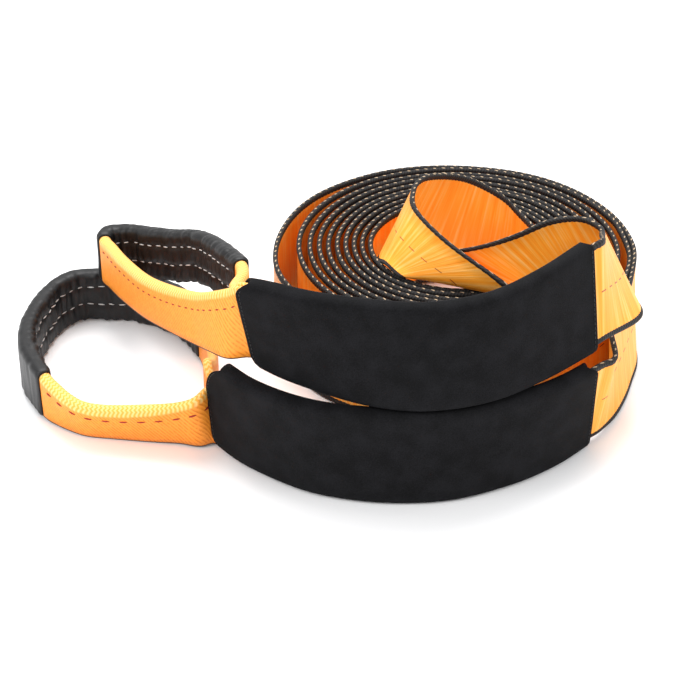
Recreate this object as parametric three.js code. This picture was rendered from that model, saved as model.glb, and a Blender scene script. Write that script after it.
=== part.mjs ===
import * as THREE from 'three';

// Tow strap: one long orange webbing, coiled on edge, with a folded eye in a wear pad at
// each end and a padded sleeve over each splice. Millimetres, +Z up.

// Driving dimensions
const webWidth = 75;
const webThickness = 4;
const turnCount = 9;
const turnPitch = 6.85;
const turnBand = 4.6;
const turnGrooveDepth = 3;
const boreRadius = 67.7;
const sleeveWidth = 82;
const sleeveThickness = 14.4;
const sleeveCorner = 5;
const sleeveWall = 2.4;
const slotCorner = 0.6;
const eyeWidth = 39;
const eyeThickness = 9;
const padWall = 1.7;
const clearance = 0.4;
const slotClearance = 0.7;
const sleeveExit = 20;

// Sizes that follow from them
const packRadius = boreRadius + (turnCount - 1) * turnPitch + turnBand;
const floor = 0;
const rim = webWidth;
const hugBore = boreRadius - clearance - webThickness / 2;
const hugPack = packRadius + clearance + webThickness / 2;
const upperSleeveLow = sleeveWidth + clearance;
const slotThickness = sleeveThickness - 2 * sleeveWall;
const slotWidth = sleeveWidth - 2 * sleeveWall;
const spliceThickness = (slotThickness - 2 * slotClearance - clearance) / 2;
const spliceOffset = (spliceThickness + clearance) / 2;
const spliceFrames = 4;
const flareThickness = (eyeThickness + spliceThickness) / 2;
const padSkin = padWall + clearance;
const padOnFloor = padSkin + clearance / 3;
const eyeOverPad = eyeWidth + 3 * padSkin + clearance;

const up = new THREE.Vector3(0, 0, 1);
const strap = new THREE.Group();

const orange = () => new THREE.MeshStandardMaterial({ color: 0xf98a1c, roughness: 0.55, metalness: 0 });
const coilOrange = () => new THREE.MeshStandardMaterial({ color: 0xd9741c, roughness: 0.7, metalness: 0 });
const sleeveBlack = () => new THREE.MeshStandardMaterial({ color: 0x1d1d20, roughness: 0.9, metalness: 0 });
const padBlack = () => new THREE.MeshStandardMaterial({ color: 0x151517, roughness: 0.75, metalness: 0 });

function addPiece(name, geometry, material) {
  const mesh = new THREE.Mesh(geometry, material);
  mesh.name = name;
  strap.add(mesh);
  return mesh;
}

// A point at an angle round the coil's axis, in degrees, a radius from it and a height
function polar(angle, radius, height) {
  const turn = THREE.MathUtils.degToRad(angle);
  return new THREE.Vector3(radius * Math.cos(turn), radius * Math.sin(turn), height);
}

// A station of a band that stands on edge: where the middle of its width is in plan, how high
// its lowest corner is, and how far its upper edge leans away from the coil's axis, in degrees
function standing(angle, radius, low, lean = 0, width = webWidth, thickness = webThickness, corner = 0) {
  const tilt = THREE.MathUtils.degToRad(lean);
  const half = width / 2;
  const upright = (half - corner) * Math.cos(tilt);
  const leaning = (thickness / 2 - corner) * Math.abs(Math.sin(tilt));
  const middle = polar(angle, radius, low + upright + leaning + corner);
  const across = polar(angle, Math.sin(tilt), 0).addScaledVector(up, Math.cos(tilt));
  return {
    low: middle.clone().addScaledVector(across, -half),
    high: middle.clone().addScaledVector(across, half),
    thickness,
  };
}

// A station given by its two edges, with their heights taken from the rims of the turns
function edged([x, y, z], [u, v, w]) {
  return {
    low: new THREE.Vector3(x, y, rim + z),
    high: new THREE.Vector3(u, v, rim + w),
    thickness: webThickness,
  };
}

// Frames along a smooth route through the stations: both edges, the face normal and the thickness
function framesAlong(stations, steps) {
  const lows = new THREE.CatmullRomCurve3(stations.map((s) => s.low));
  const highs = new THREE.CatmullRomCurve3(stations.map((s) => s.high));
  const thick = new THREE.SplineCurve(stations.map((s, i) => new THREE.Vector2(i, s.thickness)));
  lows.curveType = 'catmullrom';
  highs.curveType = 'catmullrom';
  const total = (stations.length - 1) * steps;
  const frames = [];
  for (let i = 0; i <= total; i += 1) {
    const t = i / total;
    const low = lows.getPoint(t);
    const high = highs.getPoint(t);
    frames.push({ low, high, thickness: thick.getPoint(t).y });
  }
  frames.forEach((frame, i) => {
    const before = frames[Math.max(i - 1, 0)];
    const after = frames[Math.min(i + 1, total)];
    const ahead = after.low.clone().add(after.high).sub(before.low).sub(before.high);
    const across = frame.high.clone().sub(frame.low);
    frame.out = ahead.cross(across).normalize();
  });
  return frames;
}

function closedGeometry(points, faces) {
  const geometry = new THREE.BufferGeometry();
  geometry.setFromPoints(points);
  geometry.setIndex(faces);
  geometry.computeVertexNormals();
  return geometry;
}

// A closed body swept through rings of points, with flat ends
function sweptBody(rings, endFaces) {
  const size = rings[0].length;
  const points = rings.flat();
  const faces = [];
  for (let i = 0; i + 1 < rings.length; i += 1) {
    for (let j = 0; j < size; j += 1) {
      const a = i * size + j;
      const b = i * size + ((j + 1) % size);
      faces.push(a, b, b + size, a, b + size, a + size);
    }
  }
  const last = (rings.length - 1) * size;
  for (const [a, b, c] of endFaces) {
    faces.push(c, b, a, last + a, last + b, last + c);
  }
  return closedGeometry(points, faces);
}

// A flat band: four corners at every frame
function bandGeometry(frames) {
  const rings = frames.map(({ low, high, out, thickness }) => [
    low.clone().addScaledVector(out, -thickness / 2),
    high.clone().addScaledVector(out, -thickness / 2),
    high.clone().addScaledVector(out, thickness / 2),
    low.clone().addScaledVector(out, thickness / 2),
  ]);
  return sweptBody(rings, [[0, 1, 2], [0, 2, 3]]);
}

// The outline of a flat oblong with rounded corners, as steps across and out of the face
function oblong(width, thickness, corner) {
  const bends = [[1, 1, 0], [-1, 1, 90], [-1, -1, 180], [1, -1, 270]];
  const x = width / 2 - corner;
  const y = thickness / 2 - corner;
  return bends.flatMap(([a, b, from]) => [0, 45, 90].map((turn) => {
    const t = THREE.MathUtils.degToRad(from + turn);
    return [a * x + corner * Math.cos(t), b * y + corner * Math.sin(t)];
  }));
}

// A flat tube along a band's route, open at both ends, with a slot through it
function tubeGeometry(frames, outer, inner) {
  const count = outer.length;
  const rings = frames.map(({ low, high, out }) => {
    const middle = low.clone().add(high).multiplyScalar(0.5);
    const across = high.clone().sub(low).normalize();
    const place = ([a, b]) => middle.clone().addScaledVector(across, a).addScaledVector(out, b);
    return { outside: outer.map(place), inside: inner.map(place) };
  });
  const points = rings.flatMap((ring) => [...ring.outside, ...ring.inside]);
  const faces = [];
  const size = 2 * count;
  const quad = (a, b, c, d) => faces.push(a, c, b, a, d, c);
  for (let j = 0; j < count; j += 1) {
    const k = (j + 1) % count;
    for (let i = 0; i + 1 < rings.length; i += 1) {
      const here = i * size;
      const next = here + size;
      quad(here + k, here + j, next + j, next + k);
      quad(here + count + j, here + count + k, next + count + k, next + count + j);
    }
    const end = (rings.length - 1) * size;
    quad(j, k, count + k, count + j);
    quad(end + k, end + j, end + count + j, end + count + k);
  }
  return closedGeometry(points, faces);
}

// The wound turns: one turned body with its bore, each turn's edge standing between grooves
function coilGeometry() {
  const lower = [];
  const upper = [];
  for (let turn = 0; turn < turnCount; turn += 1) {
    const inside = boreRadius + turn * turnPitch;
    const outside = inside + turnBand;
    const groove = (outside + inside + turnPitch) / 2;
    lower.push([inside, floor], [outside, floor]);
    upper.push([inside, rim], [outside, rim]);
    if (turn + 1 < turnCount) {
      lower.push([groove, floor + turnGrooveDepth]);
      upper.push([groove, rim - turnGrooveDepth]);
    }
  }
  const profile = [...lower, ...upper.reverse(), lower[0]].map(([x, y]) => new THREE.Vector2(x, y));
  return new THREE.LatheGeometry(profile, 56).rotateX(Math.PI / 2);
}

// Each sleeve's route across the front, left to right: the angle round the coil, how far it
// stands off the pack and its lean
const lowerRoute = [[-138.5, 115, 4], [-128, 118, 8], [-117, 118, 8], [-106, 111, 7],
  [-95, 101, 7], [-84, 86, 8], [-73, 71, 10], [-62, 57, 13]];
const upperRoute = [[-129.5, 115.5, 13], [-118, 113.5, 9], [-107, 112.5, 2], [-98, 108.5, 0],
  [-88, 94.5, -2], [-77.5, 72, -6], [-63, 48.5, -11]];

const sleeveFrames = (route, low) => framesAlong(route.map(([angle, standoff, lean]) => (
  standing(angle, packRadius + standoff, low, lean, sleeveWidth, sleeveThickness, sleeveCorner))), 4);
const lowerFrames = sleeveFrames(lowerRoute, floor);
const upperFrames = sleeveFrames(upperRoute, upperSleeveLow);

// A station inside a sleeve, centred on its height and moved off the middle of its slot
function inSleeve({ low, high, out }, width, thickness, offset) {
  const middle = low.clone().add(high).multiplyScalar(0.5).addScaledVector(out, offset);
  const across = high.clone().sub(low).normalize();
  return {
    low: middle.clone().addScaledVector(across, -width / 2),
    high: middle.clone().addScaledVector(across, width / 2),
    thickness,
  };
}

// The strap's own stations in a sleeve, from past the spliced legs to just out of its right end
function strapInSleeve(frames) {
  const last = frames.length - 1;
  const chosen = frames.filter((_, i) => i > spliceFrames && (last - i) % 2 === 0);
  const ahead = frames[last].low.clone().add(frames[last].high);
  ahead.sub(frames[last - 1].low).sub(frames[last - 1].high).normalize().multiplyScalar(sleeveExit);
  const { low, high, out } = frames[last];
  const past = { low: low.clone().add(ahead), high: high.clone().add(ahead), out };
  const offset = (slotThickness - webThickness) / 2 - slotClearance;
  return [...chosen, past].map((frame) => inSleeve(frame, webWidth, webThickness, offset));
}

addPiece('coil_turns', coilGeometry(), coilOrange());
for (const [name, frames] of [['sleeve_lower', lowerFrames], ['sleeve_upper', upperFrames]]) {
  const outer = oblong(sleeveWidth, sleeveThickness, sleeveCorner);
  const inner = oblong(slotWidth, slotThickness, slotCorner);
  addPiece(name, tubeGeometry(frames, outer, inner), sleeveBlack());
}

// The outer turn: out of the lower sleeve, once round the pack and in against it
const outerTurn = [
  ...strapInSleeve(lowerFrames),
  ...[[-50, 43.5, 10, 0.6], [-36, 27, 6, 0.3], [-20, 15.5, 2, 0]].map(
    ([angle, standoff, lean, low]) => standing(angle, packRadius + standoff, floor + low, lean)),
  ...[[0, 9.2], [22, 7.6], [45, 6.2], [67, 4.6], [92, 4.4], [115, 7.5], [138, 10], [158, 12],
    [180, 14.5], [200, 17], [225, 16], [250, 12], [275, 8.5], [300, 6.5], [325, 5]].map(
    ([angle, standoff]) => standing(angle, packRadius + standoff, floor)),
  standing(350, hugPack + 0.8, floor),
  standing(368, hugPack, floor),
  standing(380, hugPack, floor),
];
addPiece('outer_turn', bandGeometry(framesAlong(outerTurn, 2)), orange());

// The inner end: out of the bore, over the rims in a loop, folded on itself and into the
// upper sleeve. Edges in the plan of the coil's axis, heights from the rims of the turns.
// Past the fold the edge that was the lower one is the upper one
const innerEnd = [
  standing(6, hugBore, floor),
  standing(20, hugBore - 1.6, floor + 1.5),
  edged([46, 42, -69], [47, 45, 6]),
  edged([28, 48, -59], [36, 51, 15]),
  edged([4, 50, -49], [20, 54, 24]),
  edged([-20, 44, -39], [4, 50, 33]),
  edged([-42, 32, -29], [-12, 42, 39]),
  edged([-56, 12, -19], [-26, 26, 45]),
  edged([-58, -10, -12], [-31, 5, 47]),
  edged([-54, -38, 5], [-28, -20, 44]),
  edged([-50, -50, 4], [-12, -58, 35]),
  edged([-48, -54, 3.4], [26, -87, 19]),
  edged([-47, -47, 2.8], [42, -89, 4]),
  edged([-42, -34, 8], [48, -81, 3]),
  edged([5, -55, 29], [60, -82, 2.8]),
  edged([33, -64, 44], [76, -82, 2.8]),
  edged([58, -68, 59], [94, -80, 2.8]),
  edged([80, -70, 64], [115, -82, 2.8]),
  edged([91, -82, 66], [127, -96, 5.4]),
  edged([92, -104, 69], [122, -115, 8]),
  ...strapInSleeve(upperFrames).reverse().map(({ low, high, thickness }) => (
    { low: high, high: low, thickness })),
];
addPiece('inner_end', bandGeometry(framesAlong(innerEnd, 3)), orange());

// The eyes: out of a sleeve's left end, round and back in beside itself. Each step gives the
// plan distance from the mouth of the sleeve, the height of the lower edge and the width
const flare = { mouth: 64, near: 54, neck: 46 };
const upperEye = [
  [-13, 6.5, 90, flare.near], [-26, 23, 86, flare.neck + 2], [-38, 43, 79, flare.neck],
  [-58, 74, 70, 41], [-79, 107, 61, eyeWidth], [-99, 144, 53, eyeWidth],
  [-111, 168, 48, eyeWidth], [-118, 182, eyeOverPad, eyeWidth], [-117, 192, eyeOverPad, eyeWidth],
  [-109, 195, eyeOverPad, eyeWidth], [-97, 191, 48, eyeWidth], [-82, 180, 52, eyeWidth],
  [-62, 164, 59, eyeWidth], [-46, 151, 66, eyeWidth], [-31, 129, 73, eyeWidth], [-17, 101, 79, eyeWidth],
  [-5, 79, 84, eyeWidth], [4, 56, 88, eyeWidth], [7, 40, 90, eyeWidth + 1],
  [2, 25, 90, flare.neck], [-5, 12, 88, flare.near],
];
const lowerEye = [
  [-11.65, 3.7, 10, flare.near], [-25.85, 4.8, 3, flare.neck], [-47.5, 2, 0.8, 41],
  [-75.5, 5, 0.6, eyeWidth], [-95.5, 7.5, 1.7, eyeWidth], [-108.5, 13, 1.7, eyeWidth],
  ...[[-118.5, 24], [-129.5, 39], [-138, 57], [-144, 75], [-146, 103], [-140, 132], [-131, 153],
    [-119, 164], [-105, 166], [-85, 166], [-66, 162], [-47, 153], [-29.5, 138], [-18, 113],
    [-12, 79]].map(([dx, dy]) => [dx, dy, padOnFloor, eyeWidth]),
  [-9.5, 50, 2, flare.neck - 2], [-8.85, 31.8, 5, flare.neck + 2], [-6.65, 16.2, 9, flare.near],
];
const padSpans = { upper: [10, 19], lower: [11, 22] };

function eyeFrames(frames, steps) {
  const mouth = frames[0].low.clone().add(frames[0].high).multiplyScalar(0.5);
  const halfway = (webWidth + flare.mouth) / 2;
  const inside = [[spliceFrames, webWidth], [spliceFrames / 2, halfway], [0, flare.mouth]];
  const splice = (side) => inside.map(([i, width]) => (
    inSleeve(frames[i], width, spliceThickness, side * spliceOffset)));
  const walk = steps.map(([dx, dy, low, width]) => ({
    low: new THREE.Vector3(mouth.x + dx, mouth.y + dy, low),
    high: new THREE.Vector3(mouth.x + dx, mouth.y + dy, low + width),
    thickness: width >= flare.neck - 2 ? flareThickness : eyeThickness,
  }));
  return framesAlong([...splice(1), ...walk, ...splice(-1).reverse()], 2);
}

for (const [name, frames, steps] of [['upper', upperFrames, upperEye], ['lower', lowerFrames, lowerEye]]) {
  const eye = eyeFrames(frames, steps);
  const [first, last] = padSpans[name];
  const slot = oblong(eyeWidth + 2 * clearance, eyeThickness + 2 * clearance, slotCorner);
  const skin = 2 * (clearance + padWall);
  const cover = oblong(eyeWidth + skin, eyeThickness + skin, 4);
  addPiece(`eye_${name}`, bandGeometry(eye), orange());
  addPiece(`pad_${name}`, tubeGeometry(eye.slice(2 * first, 2 * last + 1), cover, slot), padBlack());
}

// Everything is set down with the middle of its outline over the origin
strap.updateMatrixWorld(true);
const outline = new THREE.Box3().setFromObject(strap, true);
const centre = outline.getCenter(new THREE.Vector3());
strap.position.set(-centre.x, -centre.y, -outline.min.z);

export default strap;
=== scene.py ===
"""Dresses a tow strap that lies coiled on edge: webbing, eyes, wear pads and sleeves.

Metres, +Z up.
"""

import logging
import math
from dataclasses import dataclass, field
from enum import Enum
from typing import Callable, Iterable, Sequence, Union

import bmesh
import bpy
import numpy as np
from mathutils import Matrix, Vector, noise


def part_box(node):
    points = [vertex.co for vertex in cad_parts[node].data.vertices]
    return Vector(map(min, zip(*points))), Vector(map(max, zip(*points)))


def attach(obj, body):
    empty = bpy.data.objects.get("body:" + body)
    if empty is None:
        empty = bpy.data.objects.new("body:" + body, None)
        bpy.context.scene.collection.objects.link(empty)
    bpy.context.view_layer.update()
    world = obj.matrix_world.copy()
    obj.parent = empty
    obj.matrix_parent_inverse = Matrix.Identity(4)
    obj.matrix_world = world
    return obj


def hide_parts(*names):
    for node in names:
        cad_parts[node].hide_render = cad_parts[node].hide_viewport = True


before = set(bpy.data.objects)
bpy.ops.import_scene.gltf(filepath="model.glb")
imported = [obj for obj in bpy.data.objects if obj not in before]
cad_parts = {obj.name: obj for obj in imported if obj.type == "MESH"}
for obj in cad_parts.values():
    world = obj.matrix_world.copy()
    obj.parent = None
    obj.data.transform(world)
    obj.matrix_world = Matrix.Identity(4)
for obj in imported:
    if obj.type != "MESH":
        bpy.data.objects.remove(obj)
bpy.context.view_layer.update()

MM = 0.001
MERGE = 0.0005 * MM
BODY = "root"
Colour = tuple[float, float, float]
Number = Union["Field", float]
log = logging.getLogger("strap")


class Face(Enum):
    """The two faces of a band: its normal side, and the other."""

    INNER = 1
    OUTER = -1


class Held(Enum):
    """How a piece of cloth is held."""

    FOLDED = "folded"
    GATHERED = "gathered"


# Shader maths


class Field:
    """A value that varies over a surface: a node's socket with Python's operators."""

    def __init__(self, shader: "Shader", socket: bpy.types.NodeSocket) -> None:
        """Wraps a socket of a shader's tree."""
        self.shader = shader
        self.socket = socket

    def maths(self, operation: str, *others: Number) -> "Field":
        """Adds one Math node that starts from this value.

        Args:
            operation: the Math node's operation.
            others: its second and third values.

        Returns:
            The node's result.
        """
        return self.shader.add("ShaderNodeMath", {"operation": operation}, [self, *others])

    def __add__(self, other: Number) -> "Field":
        """self + other."""
        return self.maths("ADD", other)

    def __radd__(self, other: float) -> "Field":
        """other + self."""
        return self.maths("ADD", other)

    def __sub__(self, other: Number) -> "Field":
        """self - other."""
        return self.maths("SUBTRACT", other)

    def __rsub__(self, other: float) -> "Field":
        """other - self."""
        return self.maths("MULTIPLY_ADD", -1.0, other)

    def __mul__(self, other: Number) -> "Field":
        """self * other."""
        return self.maths("MULTIPLY", other)

    def __rmul__(self, other: float) -> "Field":
        """other * self."""
        return self.maths("MULTIPLY", other)

    def __truediv__(self, other: Number) -> "Field":
        """self / other."""
        return self.maths("DIVIDE", other)

    def __abs__(self) -> "Field":
        """abs(self)."""
        return self.maths("ABSOLUTE")

    def above(self, other: Number) -> "Field":
        """1 where self is more than other, and 0 elsewhere."""
        return self.maths("GREATER_THAN", other)

    def below(self, other: Number) -> "Field":
        """1 where self is less than other, and 0 elsewhere."""
        return self.maths("LESS_THAN", other)

    def share(self) -> "Field":
        """The part of self after the point, from 0 to 1."""
        return self.maths("FRACT")

    def wave(self, length: float) -> "Field":
        """A sine of self with the given wave length, from 0 to 1."""
        return (self * (2 * math.pi / length)).maths("SINE") * 0.5 + 0.5

    def ramp(self, low: float, high: float) -> "Field":
        """A smooth step of self from low to high, from 0 to 1."""
        settings = {"interpolation_type": "SMOOTHSTEP"}
        return self.shader.add("ShaderNodeMapRange", settings, [self, low, high])


class Shader:
    """The node tree of one finish, and the one way in which nodes are added to it."""

    def __init__(self, name: str) -> None:
        """Starts a material with its Principled BSDF."""
        self.material = bpy.data.materials.new(name)
        self.material.use_nodes = True
        self.tree = self.material.node_tree
        self.bsdf = next(n for n in self.tree.nodes if n.type == "BSDF_PRINCIPLED")

    def add(self, kind: str, settings: dict[str, object], values: Sequence[object] = (),
            named: dict[str | int, object] | None = None, output: int | str = 0) -> Field:
        """Adds one node.

        Args:
            kind: the node's type.
            settings: its properties, set before its sockets; stops are a colour ramp's.
            values: numbers, colours, Fields or None for its sockets, in their order.
            named: the same for sockets called by name or number.
            output: the socket that is wanted back.

        Returns:
            That output.
        """
        node = self.tree.nodes.new(kind)
        for key, value in settings.items():
            if key == "stops":
                self.set_stops(node.color_ramp, value)
            else:
                setattr(node, key, value)
        sockets = list(zip(node.inputs, values))
        sockets += [(node.inputs[key], value) for key, value in (named or {}).items()]
        for socket, value in sockets:
            self.fill(socket, value)
        return Field(self, node.outputs[output])

    def fill(self, socket: bpy.types.NodeSocket, value: object) -> None:
        """Links a Field to a socket, sets the socket's own value, or for None does neither."""
        if isinstance(value, Field):
            self.tree.links.new(value.socket, socket)
        elif value is not None:
            socket.default_value = value

    @staticmethod
    def set_stops(ramp: bpy.types.ColorRamp, stops: Sequence[tuple[float, Colour]]) -> None:
        """Gives a colour ramp its stops."""
        while len(ramp.elements) < len(stops):
            ramp.elements.new(1.0)
        for element, (place, colour) in zip(ramp.elements, stops):
            element.position = place
            element.color = (*colour, 1.0)

    def tape(self) -> tuple[Field, Field, Field]:
        """How far along a band a point is, how far across and how far out, in millimetres."""
        mark = self.add("ShaderNodeAttribute", {"attribute_name": "tape"}, output="Vector")
        split = self.add("ShaderNodeVectorMath", {"operation": "SCALE"}, [mark],
                         {"Scale": 1 / MM}, "Vector")
        parts = [self.add("ShaderNodeSeparateXYZ", {}, [split], output=i) for i in range(3)]
        return parts[0], parts[1], parts[2]

    def vector(self, x: Number, y: Number, z: Number) -> Field:
        """Three values as one vector."""
        return self.add("ShaderNodeCombineXYZ", {}, [x, y, z])

    def grain(self, place: Field | None, scale: float, detail: float = 2.0) -> Field:
        """Noise from 0 to 1, at a place or over the object's own coordinates."""
        if place is None:
            place = self.add("ShaderNodeTexCoord", {}, output="Object")
        named = {"Vector": place, "Scale": scale, "Detail": detail}
        return self.add("ShaderNodeTexNoise", {}, [], named, "Fac")

    def colours(self, value: Field, *stops: tuple[float, Colour]) -> Field:
        """A colour ramp over a value."""
        return self.add("ShaderNodeValToRGB", {"stops": stops}, [value], output="Color")

    def mix(self, mask: Field, under: object, over: object) -> Field:
        """One colour laid over another where the mask is 1."""
        under, over = ((*c, 1.0) if isinstance(c, tuple) else c for c in (under, over))
        sockets = {0: mask, 6: under, 7: over}
        return self.add("ShaderNodeMix", {"data_type": "RGBA"}, [], sockets, 2)

    def finish(self, colour: Field, roughness: Number, height: Field, depth: float,
               gloss: float = 0.5) -> bpy.types.Material:
        """Feeds the surface.

        Args:
            colour: the base colour.
            roughness: a value or a number.
            height: the relief, from 0 to 1.
            depth: how deep the relief is, in metres.
            gloss: the specular level.

        Returns:
            The finished material.
        """
        bump = self.add("ShaderNodeBump", {}, [], {"Height": height, "Distance": depth}, "Normal")
        for name, value in (("Base Color", colour), ("Roughness", roughness), ("Normal", bump),
                            ("Specular IOR Level", gloss)):
            self.fill(self.bsdf.inputs[name], value)
        return self.material


# Finishes


@dataclass(frozen=True)
class WebbingFinish:
    """Flat woven tape with ribs across it, black selvedge cords and a red seam on one face."""

    # light, plain and deep are the tones across the tape's streaks: partly the weave's own uneven
    # tone, and partly painted satin highlight, which is palest in light.
    light: Colour = (1.0, 0.54, 0.14)
    plain: Colour = (1.0, 0.385, 0.032)
    deep: Colour = (1.0, 0.30, 0.012)
    cord: Colour = (0.012, 0.011, 0.011)
    strand: Colour = (0.03, 0.027, 0.026)
    fleck: Colour = (0.46, 0.34, 0.22)
    seam: Colour = (0.28, 0.02, 0.008)
    cord_centre: float = 35.2
    cord_edge: float = 33.0
    fleck_pitch: float = 7.3
    fleck_length: float = 2.8
    fleck_width: float = 1.15
    fleck_slant: float = 0.3
    fleck_wander: float = 1.2
    strand_pitch: float = 2.4
    seam_pitch: float = 14.0
    seam_share: float = 0.47
    seam_half: float = 0.55
    seam_weight: float = 0.85
    relief: float = 0.45 * MM
    gloss: float = 0.3

    def material(self) -> bpy.types.Material:
        """The tape's material, read along its own length and width."""
        shader = Shader("webbing_orange")
        along, across, out = shader.tape()
        side = out.above(0.0)
        # The streaks across the tape carry painted satin highlight as well as the weave's uneven
        # tone: the ramp below lightens the colour along them.
        streaks_and_sheen = shader.grain(shader.vector(along * 0.30, across * 0.012, side * 9.0), 1.0, 3.0)
        ribs = shader.grain(shader.vector(along * 1.1, across * 0.02, side * 5.0), 1.0, 1.0)
        fine = along.wave(1.4) * (across.wave(1.4) * 0.5 + 0.5)
        tone = streaks_and_sheen * 0.75 + ribs * 0.25
        orange = shader.colours(tone, (0.34, self.deep), (0.5, self.plain), (0.66, self.light))
        dash = (along / self.seam_pitch).share().below(self.seam_share)
        dash = dash * abs(across).below(self.seam_half) * side
        orange = shader.mix(dash * self.seam_weight, orange, self.seam)
        lean = abs(across) - self.cord_centre
        turn = out.maths("ARCTAN2", lean) / (2 * math.pi)
        jitter = shader.grain(shader.vector(along * 0.4, across * 0.3, 0.0), 1.0) - 0.5
        step = ((along / self.fleck_pitch + jitter * 0.3).share() - 0.5) * self.fleck_pitch
        shift = out - step * self.fleck_slant + jitter * self.fleck_wander
        shift = shift / (self.fleck_width / 2)
        reach = step / (self.fleck_length / 2)
        fleck = (shift * shift + reach * reach).below(1.0) * lean.above(-0.6)
        strands = abs((along / self.strand_pitch + turn * 2.0).share() - 0.5) * 2.0
        black = shader.mix(strands.ramp(0.35, 1.0), self.cord, self.strand)
        black = shader.mix(fleck, black, self.fleck)
        edge = abs(across) + along.wave(3.6) * 0.4
        is_cord = edge.above(self.cord_edge)
        colour = shader.mix(is_cord, orange, black)
        rough = 0.40 + ribs * 0.14 + is_cord * 0.25
        relief = (ribs * 0.6 + streaks_and_sheen * 0.3 + fine * 0.1) * (1.0 - is_cord)
        relief = relief + (strands * 0.6 + fleck * 0.5) * is_cord
        return shader.finish(colour, rough, relief, self.relief, self.gloss)


@dataclass(frozen=True)
class EyeFinish:
    """The same tape folded to half its width: a pale twill fold over ribbed faces."""

    pale: Colour = (1.0, 0.60, 0.20)
    twill: Colour = (0.98, 0.40, 0.045)
    face: Colour = (0.98, 0.33, 0.03)
    rib: Colour = (0.78, 0.19, 0.008)
    edge: Colour = (0.05, 0.02, 0.012)
    twill_pitch: float = 3.2
    rib_pitch: float = 2.7
    rib_slant: float = 0.55
    fold_edge: tuple[float, float] = (5.0, 8.0)
    selvedge: float = 0.9
    relief: float = 0.35 * MM
    gloss: float = 0.4

    def material(self) -> bpy.types.Material:
        """The folded tape's material: across is measured down from its fold."""
        shader = Shader("webbing_folded")
        along, fall, out = shader.tape()
        foot = shader.add("ShaderNodeAttribute", {"attribute_name": "foot"}, output="Fac") / MM
        lean = abs((out / 3.0).share() - 0.5) * 3.0
        twill = ((along + lean) / self.twill_pitch).share()
        fold = shader.mix(abs(twill - 0.5).ramp(0.16, 0.34), self.pale, self.twill)
        ribs = abs(((along + fall * self.rib_slant) / self.rib_pitch).share() - 0.5) * 2.0
        speckle = shader.grain(shader.vector(along * 0.5, fall * 0.25, out), 1.0, 3.0)
        sides = shader.mix(ribs.ramp(0.4, 0.95) * speckle.ramp(0.3, 0.6), self.face, self.rib)
        is_fold = 1.0 - (fall + speckle * 2.0).ramp(*self.fold_edge)
        colour = shader.mix(is_fold, sides, fold)
        colour = shader.mix(foot.below(self.selvedge), colour, self.edge)
        relief = ribs * 0.5 * (1.0 - is_fold) + abs(twill - 0.5) * 2.0 * is_fold
        return shader.finish(colour, 0.5 + speckle * 0.12, relief, self.relief, self.gloss)


@dataclass(frozen=True)
class ClothFinish:
    """A plain dark cloth with a fine weave and a soft bloom."""

    name: str
    dark: Colour
    bloom: Colour
    weave: float
    roughness: float
    depth: float
    gloss: float

    def material(self) -> bpy.types.Material:
        """The cloth's material, over the object's own coordinates."""
        shader = Shader(self.name)
        mottle = shader.grain(None, 60.0, 3.0)
        knit = shader.grain(None, 1 / self.weave, 1.0)
        tone = mottle * 0.55 + knit * 0.45
        colour = shader.colours(tone, (0.38, self.dark), (0.62, self.bloom))
        rough = self.roughness + mottle * 0.1
        return shader.finish(colour, rough, knit, self.depth, self.gloss)


@dataclass(frozen=True)
class ThreadFinish:
    """Sewing thread: twisted along its own length."""

    name: str
    colour: Colour
    shade: Colour
    twist: float = 0.9
    relief: float = 0.1 * MM

    def material(self) -> bpy.types.Material:
        """The thread's material."""
        shader = Shader(self.name)
        along, across, out = shader.tape()
        twist = (along + across * 0.8 + out * 0.8).wave(self.twist)
        colour = shader.mix(twist, self.shade, self.colour)
        return shader.finish(colour, 0.6 + twist * 0.1, twist, self.relief)


# Routes


def curve(points: np.ndarray, share: float) -> np.ndarray:
    """A place on the smooth curve through points.

    Args:
        points: one row for each point.
        share: how far along the rows, from 0 to 1.

    Returns:
        The row there.
    """
    spans = len(points) - 1
    at = min(max(share, 0.0), 1.0) * spans
    i = min(int(at), spans - 1)
    t = at - i
    b, c = points[i], points[i + 1]
    a = points[i - 1] if i > 0 else 2 * b - c
    d = points[i + 2] if i + 2 <= spans else 2 * c - b
    return (b + 0.5 * t * (c - a) + 0.5 * t**2 * (2 * a - 5 * b + 4 * c - d)
            + 0.5 * t**3 * (3 * b - a - 3 * c + d))


def station(low: Sequence[float], high: Sequence[float], thickness: float) -> np.ndarray:
    """A station of a band as one row: its low edge, its high edge and its thickness."""
    return np.array([*low, *high, thickness], float)


def standing(angle: float, radius: float, low: float, lean: float, width: float,
             thickness: float, corner: float = 0.0) -> np.ndarray:
    """A station that stands on edge beside the coil's axis.

    Args:
        angle: round the axis, in degrees.
        radius: of the middle of its width.
        low: the height of its lowest corner.
        lean: of its upper edge away from the axis, in degrees.
        width: of the band.
        thickness: of the band.
        corner: the rounding of its section.

    Returns:
        The station.
    """
    turn, tilt = math.radians(angle), math.radians(lean)
    aside = np.array([math.cos(turn), math.sin(turn), 0.0])
    upright = (width / 2 - corner) * math.cos(tilt)
    leaning = (thickness / 2 - corner) * abs(math.sin(tilt))
    middle = aside * radius + np.array([0.0, 0.0, low + upright + leaning + corner])
    across = aside * math.sin(tilt) + np.array([0.0, 0.0, math.cos(tilt)])
    return station(middle - across * width / 2, middle + across * width / 2, thickness)


Placed = tuple[np.ndarray, np.ndarray, np.ndarray]


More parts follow.
